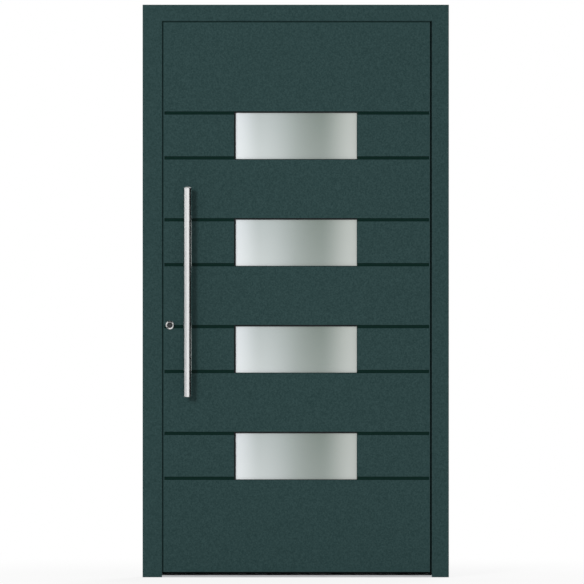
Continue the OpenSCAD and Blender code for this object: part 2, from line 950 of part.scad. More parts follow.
module along_hinge_edge() {
  translate([leaf_x[1], 0, 0])
    mirror([1, 0, 0])
      run_z(leaf_z)
        children();
}

module along_top_edge() {
  run_x(leaf_x)
    translate([0, leaf_z[1]])
      rotate(-90)
        children();
}

module along_bottom_edge() {
  run_x(leaf_x)
    translate([0, leaf_z[0]])
      mirror([1, 0])
        rotate(90)
          children();
}

module leaf_stile_lock() {
  color(paint)
    difference() {
      along_lock_edge() leaf_section();
      rail_zones(0, stile_reach);
      cylinder_hole([leaf_y - cut, y_in + cut]);
      rod_y(lock_x, lever_z, spindle_w, [leaf_break[1] - cut, y_in + cut]);
    }
}

module leaf_stile_hinge() {
  color(paint)
    difference() {
      along_hinge_edge() leaf_section();
      rail_zones(0, stile_reach);
    }
}

module leaf_rail_top() {
  color(paint)
    intersection() {
      along_top_edge() leaf_section();
      rail_zones(0, stile_reach);
    }
}

module leaf_rail_bottom() {
  color(paint)
    intersection() {
      along_bottom_edge() leaf_section();
      rail_zones(0, stile_reach);
    }
}

// Room for the lock cases in the edge bar of the lock stile
module case_room() {
  room = 1;
  x = [leaf_x[0], faceplate_back + case_d + room];
  y = [leaf_break[0] - foot_d - cut, leaf_break[1] + foot_d + cut];
  block(x, y, [case_z[0] - room, case_z[1] + room]);
  for (z = [upper_bolt_z, lower_bolt_z])
    block(x, y, [z - bolt_case_h / 2 - room, z + bolt_case_h / 2 + room]);
}

module leaf_bar_sections() {
  for (b = leaf_bars)
    bar_section(b, leaf_break);
}

module leaf_thermal_bars() {
  color(polyamide) {
    difference() {
      union() {
        along_lock_edge() leaf_bar_sections();
        along_hinge_edge() leaf_bar_sections();
      }
      rail_zones(0, stile_reach, seat);
      case_room();
    }
    intersection() {
      union() {
        along_top_edge() leaf_bar_sections();
        along_bottom_edge() leaf_bar_sections();
      }
      rail_zones(0, stile_reach);
    }
  }
}

module leaf_corner_cleats() {
  w = profile_wall;
  lock_x_span = [leaf_x[0] + w, open_x[0] - w];
  hinge_x_span = [open_x[1] + w, leaf_x[1] - w];
  top = [open_z[1] + w, leaf_z[1] - w];
  bottom = [leaf_z[0] + w, open_z[0] - w];
  color(mill)
    for (y = [[leaf_y + w, leaf_break[0] - boss_d], [leaf_break[1] + boss_d, y_in - w]]) {
      corner_cleat(lock_x_span, top, y, open_x[0] + cleat_leg, open_z[1] - cleat_leg);
      corner_cleat(hinge_x_span, top, y, open_x[1] - cleat_leg, open_z[1] - cleat_leg);
      corner_cleat(lock_x_span, bottom, y, open_x[0] + cleat_leg, open_z[0] + cleat_leg);
      corner_cleat(hinge_x_span, bottom, y, open_x[1] - cleat_leg, open_z[0] + cleat_leg);
    }
}

// Seal with two lips under the bottom rail
module leaf_bottom_seal() {
  foot = 2;
  lip = 2;
  y0 = leaf_y + seal_inset;
  y1 = y0 + seal_w;
  low = threshold_h + slide;
  color(black)
    run_x([leaf_x[0] + seal_inset, leaf_x[1] - seal_inset])
      polygon([[y0, leaf_floor], [y0, low], [y0 + lip, low], [y0 + 2 * lip, leaf_floor - foot],
        [y1 - 2 * lip, leaf_floor - foot], [y1 - lip, low], [y1, low], [y1, leaf_floor]]);
}

// Cover sheet: a tray with grooves that run from edge to edge and four window openings
module outer_cover_sheet() {
  t = sheet_t;
  inner_span = [cover_x[0] + t, cover_x[1] - t];
  section = concat(
    [[leaf_y, cover_z[0]], [y_out, cover_z[0]]],
    front_line(0),
    [[y_out, cover_z[1]], [leaf_y, cover_z[1]], [leaf_y, cover_z[1] - t], [y_out + t, cover_z[1] - t]],
    reversed(front_line(t)),
    [[y_out + t, cover_z[0] + t], [leaf_y, cover_z[0] + t]]);
  color(paint)
    difference() {
      union() {
        run_x(inner_span) polygon(section);
        block([cover_x[0], inner_span[0]], [y_out, leaf_y], cover_z);
        block([inner_span[1], cover_x[1]], [y_out, leaf_y], cover_z);
      }
      for (z = window_z)
        block(window_x, [y_out - cut, groove_back + cut], [z, z + window_h]);
      rod_y(lock_x, cylinder_z, collar_hole_r, [y_out - cut, groove_back + cut]);
      for (z = post_z)
        rod_y(bar_x, z, post_bolt_d / 2 + slide, [y_out - cut, groove_back + cut]);
    }
}

// Insulating core: it fills the tray, steps into the leaf's opening and leaves room for the windows
module panel_core() {
  t = sheet_t;
  front = concat(
    [[leaf_y, cover_z[0] + t], [y_out + t, cover_z[0] + t]],
    front_line(t),
    [[y_out + t, cover_z[1] - t], [leaf_y, cover_z[1] - t]]);
  color(foam)
    difference() {
      union() {
        run_x([cover_x[0] + t, cover_x[1] - t]) polygon(front);
        block([open_x[0] + slide, open_x[1] - slide], [leaf_y - cut, inner_back],
          [open_z[0] + slide, open_z[1] - slide]);
      }
      for (z = window_z) {
        box = window_box(z, pane_cover + slide);
        block(box[0], [y_out, y_in], box[1]);
      }
      cylinder_hole([cylinder_front - slide, leaf_y + cut]);
      rod_y(lock_x, cylinder_z, collar_hole_r, [y_out, cylinder_front]);
      for (z = post_z) {
        rod_y(bar_x, z, anchor_r + slide, [anchor_y[0] - slide, anchor_y[1] + slide]);
        rod_y(bar_x, z, post_bolt_d / 2 + slide, [y_out, anchor_y[1] + bolt_bite + slide]);
      }
    }
}

module inner_sheet() {
  color(paint)
    difference() {
      block([open_x[0] + seat, open_x[1] - seat], [inner_back, inner_face],
        [open_z[0] + seat, open_z[1] - seat]);
      for (z = window_z) {
        box = window_box(z, trim_wall + slide);
        block(box[0], [inner_back - cut, inner_face + cut], box[1]);
      }
    }
}

// Section of the bead: a sloped hollow strip against the leaf's profile
module bead_section() {
  w = bead_wall;
  slope = bead_w / 3;
  difference() {
    polygon([[seat, 0], [bead_w, 0], [bead_w, w], [bead_w - slope, bead_d], [seat, bead_d]]);
    polygon([[seat + w, w], [bead_w - 2 * w, w], [bead_w - slope - w, bead_d - w], [seat + w, bead_d - w]]);
  }
}

module bead_upright(x, side) {
  translate([x, inner_face, open_z[0]])
    mirror([side < 0 ? 1 : 0, 0, 0])
      linear_extrude(open_z[1] - open_z[0])
        bead_section();
}

module bead_level(z, side) {
  translate([open_x[0], inner_face, z])
    rotate([90, 0, 90])
      linear_extrude(open_x[1] - open_x[0])
        mirror([0, side < 0 ? 1 : 0])
          rotate(90)
            mirror([0, 1])
              bead_section();
}

module panel_beads() {
  reach = bead_w + cut;
  color(paint) {
    difference() {
      union() {
        bead_upright(open_x[0], 1);
        bead_upright(open_x[1], -1);
      }
      rail_zones(reach, 2 * reach, seat);
    }
    intersection() {
      union() {
        bead_level(open_z[0], 1);
        bead_level(open_z[1], -1);
      }
      rail_zones(reach, 2 * reach);
    }
  }
}

// Panes of the triple glazing
module pane(z, y, t) {
  box = window_box(z, pane_cover);
  block(box[0], [y, y + t], box[1]);
}

module glass_outer(i) {
  color(satin_glass)
    pane(window_z[i], outer_pane_y, outer_pane_t);
}

module glass_outer_1() glass_outer(0);
module glass_outer_2() glass_outer(1);
module glass_outer_3() glass_outer(2);
module glass_outer_4() glass_outer(3);

module glass_middle_panes() {
  color(clear_glass)
    for (z = window_z)
      pane(z, middle_pane_y, middle_pane_t);
}

module glass_inner_panes() {
  color(satin_glass)
    for (z = window_z)
      pane(z, inner_pane_y, inner_pane_t);
}

module glass_spacers() {
  inset = 3;
  color(black)
    for (z = window_z, y = [outer_pane_y + outer_pane_t, middle_pane_y + middle_pane_t])
      window_ring(window_box(z, pane_cover - inset), window_box(z, pane_cover - inset - spacer_w),
        [y, y + pane_gap]);
}

// Black gaskets: one between the sheet and the outer pane, one between the inner pane and the trim frame
module glazing_gaskets() {
  color(black)
    for (z = window_z) {
      difference() {
        window_ring(window_box(z, pane_cover),
          [[window_x[0] + rim_left, window_x[1] - rim_right], [z + rim_bottom, z + window_h - rim_top]],
          [y_out + sheet_t, outer_pane_y]);
        for (g = [z, z + window_h - groove_w], x = [window_x[0] - pane_cover - cut, window_x[1]])
          block([x, x + pane_cover + cut], [y_out, groove_back], [g - sheet_t, g + groove_w + sheet_t]);
        for (edge = [z - sheet_t, z + window_h])
          block(window_x, [y_out, groove_back], [edge, edge + sheet_t]);
      }
      window_ring(window_box(z, trim_wall), window_box(z, -trim_gasket_w),
        [inner_pane_back, inner_pane_back + trim_gasket_t]);
    }
}

module glass_trim_frames() {
  lip_y = [inner_face, inner_face + trim_wall];
  color(paint)
    for (z = window_z) {
      window_ring(window_box(z, trim_flange), window_box(z, 0), lip_y);
      window_ring(window_box(z, trim_wall), window_box(z, 0), [inner_pane_back + trim_gasket_t, lip_y[1]]);
    }
}

// Pull bar: a tube with a domed cap above and a flat cap below, on two posts
module pull_bar() {
  color(steel)
    translate([bar_x, bar_y, bar_z[0] + cap_t])
      difference() {
        cylinder(d = bar_d, h = bar_len - 2 * cap_t);
        translate([0, 0, -cut])
          cylinder(d = bar_d - 2 * bar_wall, h = bar_len);
        for (z = post_z)
          translate([0, 0, z - bar_z[0] - cap_t])
            rotate([-90, 0, 0])
              cylinder(d = post_bolt_d + 2 * slide, h = bar_d);
      }
}

module pull_cap_top() {
  r = bar_d / 2;
  spigot_r = r - bar_wall - turn;
  dome_r = (r * r + cap_t * cap_t) / (2 * cap_t);
  color(steel)
    translate([bar_x, bar_y, bar_z[1] - cap_t]) {
      intersection() {
        cylinder(r = r, h = cap_t + cut);
        translate([0, 0, cap_t - dome_r])
          sphere(r = dome_r, $fn = 128);
      }
      translate([0, 0, -3 * cap_t])
        cylinder(r = spigot_r, h = 3 * cap_t + 0.5);
    }
}

module pull_cap_bottom() {
  r = bar_d / 2;
  edge = 0.8;
  spigot_r = r - bar_wall - turn;
  color(steel)
    translate([bar_x, bar_y, bar_z[0]])
      rotate_extrude()
        polygon([[0, 0], [r - edge, 0], [r, edge], [r, cap_t], [spigot_r, cap_t], [spigot_r, 4 * cap_t],
          [0, 4 * cap_t]]);
}

module pull_post(z) {
  color(steel)
    difference() {
      rod_y(bar_x, z, post_d / 2, [bar_y, y_out]);
      translate([bar_x, bar_y, z - post_d])
        cylinder(d = bar_d, h = 2 * post_d);
      rod_y(bar_x, z, post_bolt_d / 2 + turn, [bar_y, y_out + cut]);
    }
}

module pull_post_lower() pull_post(post_z[0]);
module pull_post_upper() pull_post(post_z[1]);

// Bolts through the posts, each with an anchor plate in the core
module pull_bolts() {
  color(zinc)
    for (z = post_z) {
      rod_y(bar_x, z, post_bolt_d / 2, [bar_y + bar_d / 2 - bar_wall, anchor_y[1] + bolt_bite]);
      rod_y(bar_x, z, anchor_r, anchor_y);
    }
}

// Section of the profile cylinder, larger by a clearance
module cylinder_section(c) {
  translate([lock_x, cylinder_z]) {
    circle(r = barrel_r + c);
    translate([-tail_w / 2 - c, tail_w / 2 - tail_drop])
      square([tail_w + 2 * c, tail_drop - tail_w / 2]);
    translate([0, tail_w / 2 - tail_drop])
      circle(r = tail_w / 2 + c);
  }
}

module cylinder_hole(y) {
  run_y(y) cylinder_section(slide);
}

// Body of the profile cylinder; its round part reaches forward into the collar
module cylinder_body() {
  color(bright)
    difference() {
      union() {
        run_y([cylinder_front, cylinder_end]) cylinder_section(0);
        rod_y(lock_x, cylinder_z, nose_r, [cylinder_nose, cylinder_front + cut]);
      }
      rod_y(lock_x, cylinder_z, plug_r + turn, [cylinder_nose - cut, cylinder_end + cut]);
      rod_y(lock_x, cylinder_z, cam_r + slide, [lock_y - cam_t / 2 - slide, lock_y + cam_t / 2 + slide]);
    }
}

// Plug with its cam, and a key slot at both ends
module cylinder_plug() {
  y = [cylinder_nose, cylinder_end];
  color(bright)
    difference() {
      union() {
        rod_y(lock_x, cylinder_z, plug_r, y);
        intersection() {
          rod_y(lock_x, cylinder_z, cam_r, [lock_y - cam_t / 2, lock_y + cam_t / 2]);
          block([lock_x - tail_w / 2 + 1, lock_x + tail_w / 2 - 1], [y_out, y_in],
            [cylinder_z - cam_r - cut, cylinder_z]);
        }
      }
      for (end = [y[0] - cut, y[1] - key_slot[2]])
        block([lock_x - key_slot[0] / 2, lock_x + key_slot[0] / 2], [end, end + key_slot[2] + cut],
          [cylinder_z - key_slot[1] / 2, cylinder_z + key_slot[1] / 2]);
    }
}

// Round collar on the cover sheet, with a rounded rim
module cylinder_collar() {
  r = collar_d / 2;
  rim = 2.5;
  color(bright)
    translate([lock_x, y_out, cylinder_z])
      rotate([90, 0, 0])
        rotate_extrude()
          union() {
            translate([collar_hole_r, 0])
              square([r - collar_hole_r, collar_t - rim]);
            translate([collar_hole_r + rim, 0])
              square([r - collar_hole_r - 2 * rim, collar_t]);
            for (u = [collar_hole_r + rim, r - rim])
              translate([u, collar_t - rim])
                circle(r = rim);
          }
}

// Faceplate in the groove of the leaf's edge, with a slot for each bolt
module lock_faceplate() {
  z = [lower_bolt_z - bolt_case_h / 2 - faceplate_end, upper_bolt_z + bolt_case_h / 2 + faceplate_end];
  x = [leaf_x[0] - cut, faceplate_back + cut];
  color(steel)
    difference() {
      block([leaf_x[0], faceplate_back], faceplate_y, z);
      for (b = [dead_bolt_z, upper_bolt_z, lower_bolt_z])
        bolt_hole(x, b);
      latch_hole(x);
    }
}

module bolt_hole(x, z) {
  block(x, [lock_y - bolt_t / 2 - slide, lock_y + bolt_t / 2 + slide],
    [z - bolt_h / 2 - slide, z + bolt_h / 2 + slide]);
}

module latch_hole(x) {
  block(x, [lock_y - latch_t / 2 - slide, lock_y + latch_t / 2 + slide],
    [latch_z - latch_h / 2 - slide, latch_z + latch_h / 2 + slide]);
}

// A thin-walled case with an opening where a drive rod enters
module lock_box(depth, z, rod_z) {
  x = [faceplate_back, faceplate_back + depth];
  w = case_wall;
  difference() {
    block(x, case_y, z);
    block([x[0] + w, x[1] - w], [case_y[0] + w, case_y[1] - w], [z[0] + w, z[1] - w]);
    for (r = rod_z)
      block([x[0] - cut, rod_x[1] + slide], [lock_y - rod_w / 2 - slide, lock_y + rod_w / 2 + slide], r);
  }
}

module lock_case() {
  front = [faceplate_back - cut, faceplate_back + case_wall + cut];
  rods = [[case_z[0] - cut, case_z[0] + rod_lap + slide], [case_z[1] - rod_lap - slide, case_z[1] + cut]];
  color(zinc)
    difference() {
      lock_box(case_d, case_z, rods);
      bolt_hole(front, dead_bolt_z);
      latch_hole(front);
      cylinder_hole([case_y[0] - cut, case_y[1] + cut]);
      rod_y(lock_x, lever_z, follower_hub_r + turn, [case_y[0] - cut, case_y[1] + cut]);
    }
}

module bolt_cases() {
  half = bolt_case_h / 2;
  front = [faceplate_back - cut, faceplate_back + case_wall + cut];
  in = rod_lap + rod_travel + slide;
  color(zinc) {
    difference() {
      lock_box(bolt_case_d, [upper_bolt_z - half, upper_bolt_z + half],
        [[upper_bolt_z - half - cut, upper_bolt_z - half + in]]);
      bolt_hole(front, upper_bolt_z);
    }
    difference() {
      lock_box(bolt_case_d, [lower_bolt_z - half, lower_bolt_z + half],
        [[lower_bolt_z + half - in, lower_bolt_z + half + cut]]);
      bolt_hole(front, lower_bolt_z);
    }
  }
}

// A sliding bolt with a chamfered nose, drawn back
module sliding_bolt(z, length) {
  nose = 2;
  x = [leaf_x[0], leaf_x[0] + length];
  y = [lock_y - bolt_t / 2, lock_y + bolt_t / 2];
  color(bright)
    run_z([z - bolt_h / 2, z + bolt_h / 2])
      polygon([[x[0], y[0] + nose], [x[0], y[1] - nose], [x[0] + nose, y[1]], [x[1], y[1]], [x[1], y[0]],
        [x[0] + nose, y[0]]]);
}

module dead_bolt() sliding_bolt(dead_bolt_z, bolt_len);
module upper_bolt() sliding_bolt(upper_bolt_z, bolt_len);
module lower_bolt() sliding_bolt(lower_bolt_z, bolt_len);

module drive_rod(z) {
  color(zinc)
    block(rod_x, [lock_y - rod_w / 2, lock_y + rod_w / 2], z);
}

module upper_drive_rod() drive_rod([case_z[1] - rod_lap, upper_bolt_z - bolt_case_h / 2 + rod_lap]);
module lower_drive_rod() drive_rod([lower_bolt_z + bolt_case_h / 2 - rod_lap, case_z[0] + rod_lap]);

// Latch bolt: a nose with a slope on its closing side, and a tail that the follower's arm draws back
module latch_bolt() {
  y = [lock_y - latch_t / 2, lock_y + latch_t / 2];
  tip = leaf_x[0] - latch_reach;
  lug = lock_x + arm_half + latch_play;
  root = faceplate_back + latch_root;
  color(bright) {
    run_z([latch_z - latch_h / 2, latch_z + latch_h / 2])
      polygon([[tip, y[1]], [tip, y[1] - latch_blunt], [leaf_x[0] - latch_shoulder, y[0]], [root, y[0]],
        [root, y[1]]]);
    block([root - cut, lug + lug_t], y, tail_z);
    block([lug, lug + lug_t], y, [lever_z + follower_r + latch_root, tail_z[1]]);
  }
}

// Follower: a hub that turns in the case's walls, with a square hole and an arm to the latch
module lever_follower() {
  y = [case_y[0] + slide, case_y[1] - slide];
  disc = [case_y[0] + case_wall + slide, case_y[1] - case_wall - slide];
  half = spindle_w / 2 + turn;
  color(zinc)
    difference() {
      union() {
        rod_y(lock_x, lever_z, follower_hub_r, y);
        rod_y(lock_x, lever_z, follower_r, disc);
        block([lock_x - arm_half, lock_x + arm_half], disc, [lever_z, lever_z + arm_reach]);
      }
      block([lock_x - half, lock_x + half], [y_out, y_in], [lever_z - half, lever_z + half]);
    }
}

module lever_spindle() {
  half = spindle_w / 2;
  color(steel)
    block([lock_x - half, lock_x + half], [case_y[0] + slide, y_in + escutcheon_t + spindle_bite],
      [lever_z - half, lever_z + half]);
}

// Long narrow plate on the leaf's inside, with round ends
module inner_escutcheon() {
  r = escutcheon_w / 2;
  below = 4;
  low = cylinder_z - tail_drop - below;
  high = lever_z + r;
  color(steel)
    difference() {
      run_y([y_in, y_in + escutcheon_t])
        translate([lock_x, 0]) {
          translate([-r, low])
            square([2 * r, high - low]);
          for (z = [low, high])
            translate([0, z])
              circle(r = r);
        }
      cylinder_hole([y_in - cut, y_in + escutcheon_t + cut]);
      rod_y(lock_x, lever_z, neck_r + turn, [y_in - cut, y_in + escutcheon_t + cut]);
    }
}

// Lever: a neck, a bend and a straight grip with a domed end
module lever_handle() {
  r = lever_d / 2;
  face = y_in + escutcheon_t;
  grip_y = face + lever_standoff;
  half = spindle_w / 2 + turn;
  rose_h = 4;
  color(steel)
    difference() {
      union() {
        rod_y(lock_x, lever_z, neck_r, [y_in + slide, face + rose_h]);
        rod_y(lock_x, lever_z, r, [face, grip_y - bend_r]);
        translate([lock_x + bend_r, grip_y - bend_r, lever_z])
          rotate([0, 0, 90])
            rotate_extrude(angle = 90)
              translate([bend_r, 0])
                circle(r = r);
        translate([lock_x + bend_r, grip_y, lever_z])
          rotate([0, 90, 0])
            cylinder(r = r, h = lever_len - bend_r - r);
        translate([lock_x + lever_len - r, grip_y, lever_z])
          sphere(r = r);
      }
      block([lock_x - half, lock_x + half], [y_out, face + spindle_bite + slide],
        [lever_z - half, lever_z + half]);
    }
}

frame_jamb_lock();
frame_jamb_hinge();
frame_head();
frame_thermal_bars();
frame_corner_cleats();
frame_gasket();
threshold();
threshold_core();
strike_main();
bolt_strikes();
latch_keeper();
hinge_frame_top();
hinge_frame_middle();
hinge_frame_bottom();
hinge_pins();
hinge_leaf_top();
hinge_leaf_middle();
hinge_leaf_bottom();
leaf_stile_lock();
leaf_stile_hinge();
leaf_rail_top();
leaf_rail_bottom();
leaf_thermal_bars();
leaf_corner_cleats();
leaf_bottom_seal();
outer_cover_sheet();
panel_core();
inner_sheet();
panel_beads();
glass_outer_1();
glass_outer_2();
glass_outer_3();
glass_outer_4();
glass_middle_panes();
glass_inner_panes();
glass_spacers();
glazing_gaskets();
glass_trim_frames();
pull_bar();
pull_cap_top();
pull_cap_bottom();
pull_post_upper();
pull_post_lower();
pull_bolts();
lock_case();
bolt_cases();
lock_faceplate();
cylinder_body();
cylinder_collar();
cylinder_plug();
inner_escutcheon();
lever_handle();
lever_spindle();
lever_follower();
latch_bolt();
dead_bolt();
upper_bolt();
lower_bolt();
upper_drive_rod();
lower_drive_rod();
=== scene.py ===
import json
import math

import bmesh
import bpy
from mathutils import Matrix, Vector


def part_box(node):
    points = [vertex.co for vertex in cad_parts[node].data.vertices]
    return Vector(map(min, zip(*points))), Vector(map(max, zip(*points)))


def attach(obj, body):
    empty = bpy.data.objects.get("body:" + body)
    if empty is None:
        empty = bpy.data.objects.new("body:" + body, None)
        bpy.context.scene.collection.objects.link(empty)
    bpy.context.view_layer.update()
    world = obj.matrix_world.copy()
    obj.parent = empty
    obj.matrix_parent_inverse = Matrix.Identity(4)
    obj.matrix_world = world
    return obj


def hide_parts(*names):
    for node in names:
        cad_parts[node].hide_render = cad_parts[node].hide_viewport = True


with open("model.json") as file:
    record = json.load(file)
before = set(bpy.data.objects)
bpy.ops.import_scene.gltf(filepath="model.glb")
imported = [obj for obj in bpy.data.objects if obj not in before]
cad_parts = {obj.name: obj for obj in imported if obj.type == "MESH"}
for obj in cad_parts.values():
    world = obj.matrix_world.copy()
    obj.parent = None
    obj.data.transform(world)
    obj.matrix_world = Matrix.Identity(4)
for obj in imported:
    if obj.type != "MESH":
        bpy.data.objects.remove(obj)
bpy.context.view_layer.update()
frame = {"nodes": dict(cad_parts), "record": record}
NODES = frame["nodes"]

# The front door's finishes, its small pieces, and the floor, light and camera. Lengths are in metres. The outside
# faces -Y, the lock is on the side of -X and the hinges on the side of +X.


# Helpers for nodes

WHITE = (1.0, 1.0, 1.0, 1.0)
# Factor, A and B of a Mix node for colours, and its result
MIX_INPUTS = (0, 6, 7)
MIX_OUTPUT = 2
# Keeps the flat faces, which lie at round numbers, off the lattice planes of the noise, where it is faint
OFF_LATTICE = (0.0017, 0.0025, 0.0033)
# Nearly all values of a noise lie in this range
NOISE_RANGE = (0.3, 0.7)


def srgb(r, g, b):
    """A colour given in 0 to 255 as the linear colour that a shader takes."""
    def one(v):
        v = v / 255
        return v / 12.92 if v <= 0.04045 else ((v + 0.055) / 1.055) ** 2.4
    return (one(r), one(g), one(b), 1.0)


def grey(level):
    return (level, level, level, 1.0)


def dimmed(tone, factor):
    return tuple(factor * c for c in tone[:3]) + (1.0,)


class Tree:
    """A node tree with small helpers to build it."""

    def __init__(self, tree):
        self.tree = tree

    def node(self, kind, **values):
        n = self.tree.nodes.new(kind)
        for key, value in values.items():
            setattr(n, key, value)
        return n

    def feed(self, socket, value):
        """Sets an input to a constant, or links an output to it."""
        if isinstance(value, bpy.types.NodeSocket):
            self.tree.links.new(value, socket)
        else:
            socket.default_value = value

    def feed_all(self, node, **values):
        """Feeds inputs by name, with an underscore for each space."""
        for key, value in values.items():
            self.feed(node.inputs[key.replace("_", " ")], value)

    def math(self, op, a, b):
        n = self.node("ShaderNodeMath", operation=op)
        self.feed(n.inputs[0], a)
        self.feed(n.inputs[1], b)
        return n.outputs[0]

    def spread(self, value, low, high, a=0.0, b=1.0, smooth=False):
        """A value between low and high, mapped to a range from a to b."""
        n = self.node("ShaderNodeMapRange", interpolation_type="SMOOTHSTEP" if smooth else "LINEAR")
        self.feed_all(n, Value=value, From_Min=low, From_Max=high, To_Min=a, To_Max=b)
        return n.outputs["Result"]

    def coords(self, system):
        """A coordinate system, such as Object."""
        return self.node("ShaderNodeTexCoord").outputs[system]

    def axis(self, system, name):
        """One axis of a coordinate system, such as Object Y."""
        split = self.node("ShaderNodeSeparateXYZ")
        self.feed(split.inputs[0], self.coords(system))
        return split.outputs[name]

    def seen(self):
        """1 for rays from the camera, rays off a glossy surface and rays through glass, and 0 for all others."""
        path = self.node("ShaderNodeLightPath")
        rays = path.outputs["Is Camera Ray"]
        for name in ("Is Glossy Ray", "Is Transmission Ray"):
            rays = self.math("MAXIMUM", rays, path.outputs[name])
        return rays


class Mat(Tree):
    """A material with one Principled shader, and the textures that feed it."""

    def __init__(self, name, **values):
        self.mat = bpy.data.materials.new(name)
        self.mat.use_nodes = True
        super().__init__(self.mat.node_tree)
        self.shader = self.tree.nodes["Principled BSDF"]
        self.set(**values)

    def set(self, **values):
        self.feed_all(self.shader, **values)

    def noise(self, scale, detail=2.0, roughness=0.5, stretch=(1, 1, 1)):
        mapping = self.node("ShaderNodeMapping")
        self.feed_all(mapping, Vector=self.coords("Object"), Location=OFF_LATTICE, Scale=stretch)
        n = self.node("ShaderNodeTexNoise")
        self.feed_all(n, Vector=mapping.outputs["Vector"], Scale=scale, Detail=detail, Roughness=roughness)
        return n.outputs["Fac"]

    def vary(self, noise, a=0.0, b=1.0):
        """The usual values of a noise, mapped to a range from a to b."""
        return self.spread(noise, *NOISE_RANGE, a, b)

    def mix(self, factor, a, b):
        """Two colours mixed by a factor."""
        n = self.node("ShaderNodeMix", data_type="RGBA")
        for i, value in zip(MIX_INPUTS, (factor, a, b)):
            self.feed(n.inputs[i], value)
        return n.outputs[MIX_OUTPUT]

    def ramp(self, value, stops):
        """A colour that follows a value through stops of (place, colour)."""
        n = self.node("ShaderNodeValToRGB")
        n.color_ramp.interpolation = "EASE"
        points = n.color_ramp.elements
        while len(points) < len(stops):
            points.new(0.5)
        for point, (place, colour) in zip(points, stops):
            point.position = place
            point.color = colour
        self.feed_all(n, Fac=value)
        return n.outputs["Color"]

    def bump(self, height, distance, strength):
        n = self.node("ShaderNodeBump")
        self.feed_all(n, Height=height, Distance=distance, Strength=strength)
        self.set(Normal=n.outputs["Normal"])


def middle(node):
    """The middle of a node's box."""
    low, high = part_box(node)
    return (low + high) / 2


# Finishes

PAINT_DARK = srgb(25, 48, 48)
PAINT_LIGHT = srgb(51, 74, 74)
# Painted shade: a dark green that stands in for the shade in grooves and gaps
PAINT_SHADE = srgb(3, 33, 28)
# Share of painted shade on paint that lies back in a gap
GAP_SHADE_SHARE = 0.35
# Depth in Y at which a groove's painted shade starts, and at which it is full
GROOVE_SHADE_Y = (-0.0395, -0.0365)
# The same, as distances from the cover sheet's outer edges, which stay free of it
GROOVE_SHADE_EDGE = (0.0008, 0.0016)


def powder_coat(name, gap_shade_share=0.0, shade_grooves=False):
    """Fine-texture powder coat: a speckle in the colour, a grain in the surface, painted shade in a gap or groove.
    """
    m = Mat(name, Specular_IOR_Level=0.11)
    grain = m.noise(scale=900.0, detail=3.0, roughness=0.6)
    speckle = m.noise(scale=200.0, detail=2.0, roughness=0.6)
    tone = m.math("ADD", m.vary(grain, 0.0, 0.4), m.vary(speckle, 0.0, 0.6))
    colour = m.mix(tone, PAINT_DARK, PAINT_LIGHT)
    # Painted shade: a darker, greener tone on paint that lies back in a gap
    if gap_shade_share:
        colour = m.mix(gap_shade_share, colour, PAINT_SHADE)
    # Painted shade on the groove floors, by depth in Y, kept off the cover sheet's outer edges
    if shade_grooves:
        groove_shade_mask = m.spread(m.axis("Object", "Y"), *GROOVE_SHADE_Y, smooth=True)
        low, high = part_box("outer_cover_sheet")
        for i, axis in ((0, "X"), (2, "Z")):
            place = m.axis("Object", axis)
            for edge, inward in ((low[i], 1), (high[i], -1)):
                start, full = (edge + inward * distance for distance in GROOVE_SHADE_EDGE)
                groove_shade_mask = m.math("MULTIPLY", groove_shade_mask, m.spread(place, start, full))
        colour = m.mix(groove_shade_mask, colour, PAINT_SHADE)
    m.set(Base_Color=colour, Roughness=m.vary(grain, 0.5, 0.62))
    m.bump(grain, distance=0.00012, strength=0.5)
    return m.mat


# Scale of the noise along the lines that brushing and extruding leave
BRUSHED_STRETCH = 0.012
EXTRUDED_STRETCH = 0.01


def brushed(name, tone, roughness, along, anisotropy=0.0):
    """Brushed metal: fine lines along one axis, with a little variation in tone and gloss."""
    m = Mat(name, Metallic=1.0, Anisotropic=anisotropy)
    stretch = tuple(BRUSHED_STRETCH if axis == along else 1.0 for axis in "XYZ")
    lines = m.noise(scale=2600.0, detail=3.0, roughness=0.6, stretch=stretch)
    smears = m.noise(scale=14.0, detail=3.0, roughness=0.55)
    fine = m.vary(lines, roughness - 0.04, roughness + 0.04)
    broad = m.spread(smears, 0.35, 0.7, 0.0, 0.05)
    m.set(Base_Color=m.mix(m.vary(lines), dimmed(tone, 0.82), tone), Roughness=m.math("ADD", fine, broad))
    m.bump(lines, distance=0.00004, strength=0.35)
    if anisotropy:
        m.set(Tangent=m.node("ShaderNodeTangent", direction_type="RADIAL", axis=along).outputs[0])
    return m.mat


def plated(name, tone, roughness, wear=0.06):
    """Smooth plated or anodised metal with faint cloudy wear."""
    m = Mat(name, Metallic=1.0)
    cloud = m.noise(scale=60.0, detail=4.0, roughness=0.6)
    m.set(Base_Color=m.mix(m.vary(cloud), dimmed(tone, 0.86), tone),
          Roughness=m.vary(cloud, roughness, roughness + wear))
    m.bump(m.noise(scale=1500.0), distance=0.00002, strength=0.2)
    return m.mat


# Painted shade: black that stands in for the shade inside the collar's throat
THROAT_SHADE = srgb(16, 17, 18)
# Half the width over which the painted shade of the throat turns bright
THROAT_BLUR = 0.0008


def polished_ring(name, tone, centre, throat):
    """Polished metal ring with black painted shade in its throat: the tone changes at one distance from an axis
    along Y.
    """
    m = Mat(name, Metallic=1.0)
    across = m.math("SUBTRACT", m.axis("Object", "X"), centre.x)
    up = m.math("SUBTRACT", m.axis("Object", "Z"), centre.z)
    square = m.math("ADD", m.math("MULTIPLY", across, across), m.math("MULTIPLY", up, up))
    outside = m.spread(m.math("POWER", square, 0.5), throat - THROAT_BLUR, throat + THROAT_BLUR)
    cloud = m.noise(scale=90.0, detail=3.0, roughness=0.6)
    bright = m.mix(m.vary(cloud), dimmed(tone, 0.9), tone)
    m.set(Base_Color=m.mix(outside, THROAT_SHADE, bright), Roughness=m.vary(cloud, 0.06, 0.11))
    return m.mat


